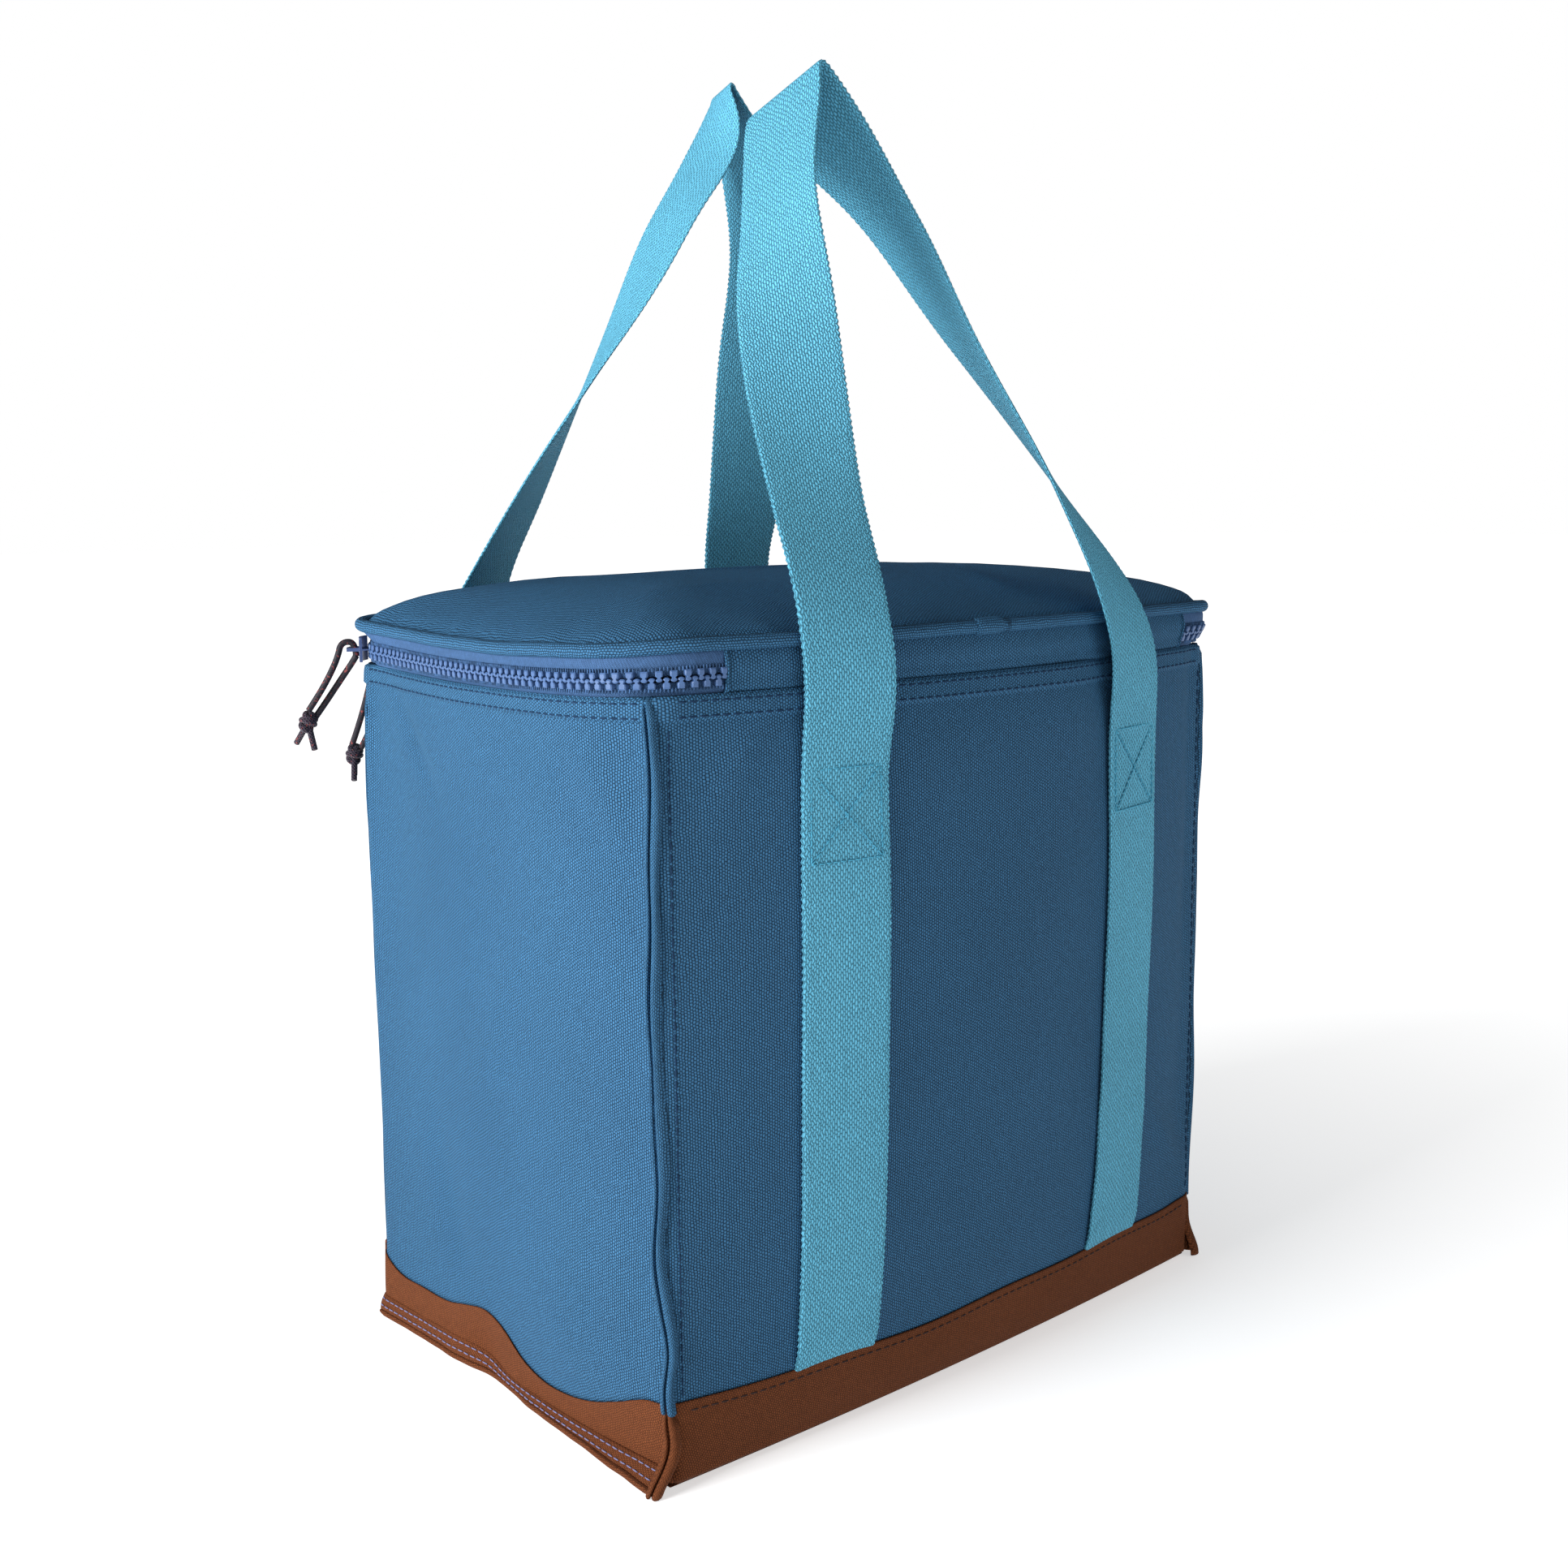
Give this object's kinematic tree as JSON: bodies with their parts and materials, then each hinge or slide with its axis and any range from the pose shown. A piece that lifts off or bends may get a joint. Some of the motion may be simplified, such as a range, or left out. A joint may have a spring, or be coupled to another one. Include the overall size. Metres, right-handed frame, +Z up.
{
  "type": "insulated cooler bag",
  "caption": "Box-shaped soft cooler bag with a crowned zip lid, foam walls and foil lining, a contrasting base band and long webbing carry handles.",
  "frame": {"origin": "centre of the bag's footprint, on the floor that it stands on", "axes": "+Z up; X along the long sides; the lid's fabric hinge is on the -Y side and the zip opens on the other three"},
  "size_m": [0.3245, 0.2678, 0.5159],
  "materials": {
    "panel_fabric": "blue oxford basket weave with a faint sheen",
    "band_fabric": "brown twill weave, matte",
    "webbing": "light blue chunky woven webbing",
    "foam": "white closed-cell foam",
    "foil_liner": "crinkled foil film",
    "board": "grey plastic board",
    "zip_tape": "fine knitted periwinkle tape",
    "zip_teeth": "satin moulded periwinkle plastic",
    "slider_metal": "painted die-cast zinc",
    "pull_cord": "dark purple braided cord with fine red flecks"
  },
  "bodies": {
    "root": {"front_panel": "panel_fabric", "back_panel": "panel_fabric", "left_panel": "panel_fabric", "right_panel": "panel_fabric", "front_foam": "foam", "back_foam": "foam", "left_foam": "foam", "right_foam": "foam", "left_band": "band_fabric", "right_band": "band_fabric", "left_base_seam": "band_fabric", "right_base_seam": "band_fabric", "base_wrap": "band_fabric", "base_board": "board", "base_foam": "foam", "liner_floor": "foil_liner", "liner_walls": "foil_liner", "lower_zip_tape": "zip_tape", "lower_zip_teeth": "zip_teeth", "lower_hinge_strip": "panel_fabric", "front_left_strap": "webbing", "front_right_strap": "webbing", "back_left_strap": "webbing", "back_right_strap": "webbing"},
    "lid": {"lid_top_panel": "panel_fabric", "lid_foam": "foam", "lid_liner": "foil_liner", "lid_piping": "panel_fabric", "upper_zip_tape": "zip_tape", "upper_zip_teeth": "zip_teeth", "upper_hinge_strip": "panel_fabric"},
    "front_handle": {"front_handle": "webbing"},
    "back_handle": {"back_handle": "webbing"},
    "corner_slider": {"corner_slider": "slider_metal"},
    "back_slider": {"back_slider": "slider_metal"},
    "corner_pull": {"corner_pull_front_strand": "pull_cord", "corner_pull_rear_strand": "pull_cord", "corner_pull_knot": "pull_cord"},
    "back_pull": {"back_pull_front_strand": "pull_cord", "back_pull_rear_strand": "pull_cord", "back_pull_knot": "pull_cord"}
  },
  "joints": [
    {"name": "lid_hinge", "type": "hinge", "parent": "root", "child": "lid", "pos_m": [0, -0.1192, 0.2858], "axis": [1, 0, 0], "range_deg": [0, 120]},
    {"name": "front_handle_swing", "type": "hinge", "parent": "root", "child": "front_handle", "pos_m": [0, -0.1174, 0.257], "axis": [1, 0, 0], "range_deg": [0, 150]},
    {"name": "back_handle_swing", "type": "hinge", "parent": "root", "child": "back_handle", "pos_m": [0, 0.1174, 0.257], "axis": [-1, 0, 0], "range_deg": [0, 150]},
    {"name": "corner_slider_travel", "type": "hinge", "parent": "root", "child": "corner_slider", "pos_m": [-0.13, 0.08408, 0.2858], "axis": [0, 0, 1], "range_deg": [0, 26]},
    {"name": "back_slider_travel", "type": "hinge", "parent": "root", "child": "back_slider", "pos_m": [0, -0.516, 0.2858], "axis": [0, 0, -1], "range_deg": [0, 1.9]},
    {"name": "corner_pull_swing", "type": "hinge", "parent": "corner_slider", "child": "corner_pull", "pos_m": [-0.15151, 0.10089, 0.2858], "axis": [0.6157, 0.788, 0], "range_deg": [0, 90]},
    {"name": "back_pull_swing", "type": "hinge", "parent": "back_slider", "child": "back_pull", "pos_m": [-0.127, 0.1126, 0.2858], "axis": [0.9802, 0.198, 0], "range_deg": [0, 90]}
  ],
  "couplings": [
    {"joint": "front_handle_swing", "follows": "lid_hinge", "ratio": 1.25},
    {"joint": "back_handle_swing", "follows": "lid_hinge", "ratio": 1.25}
  ]
}
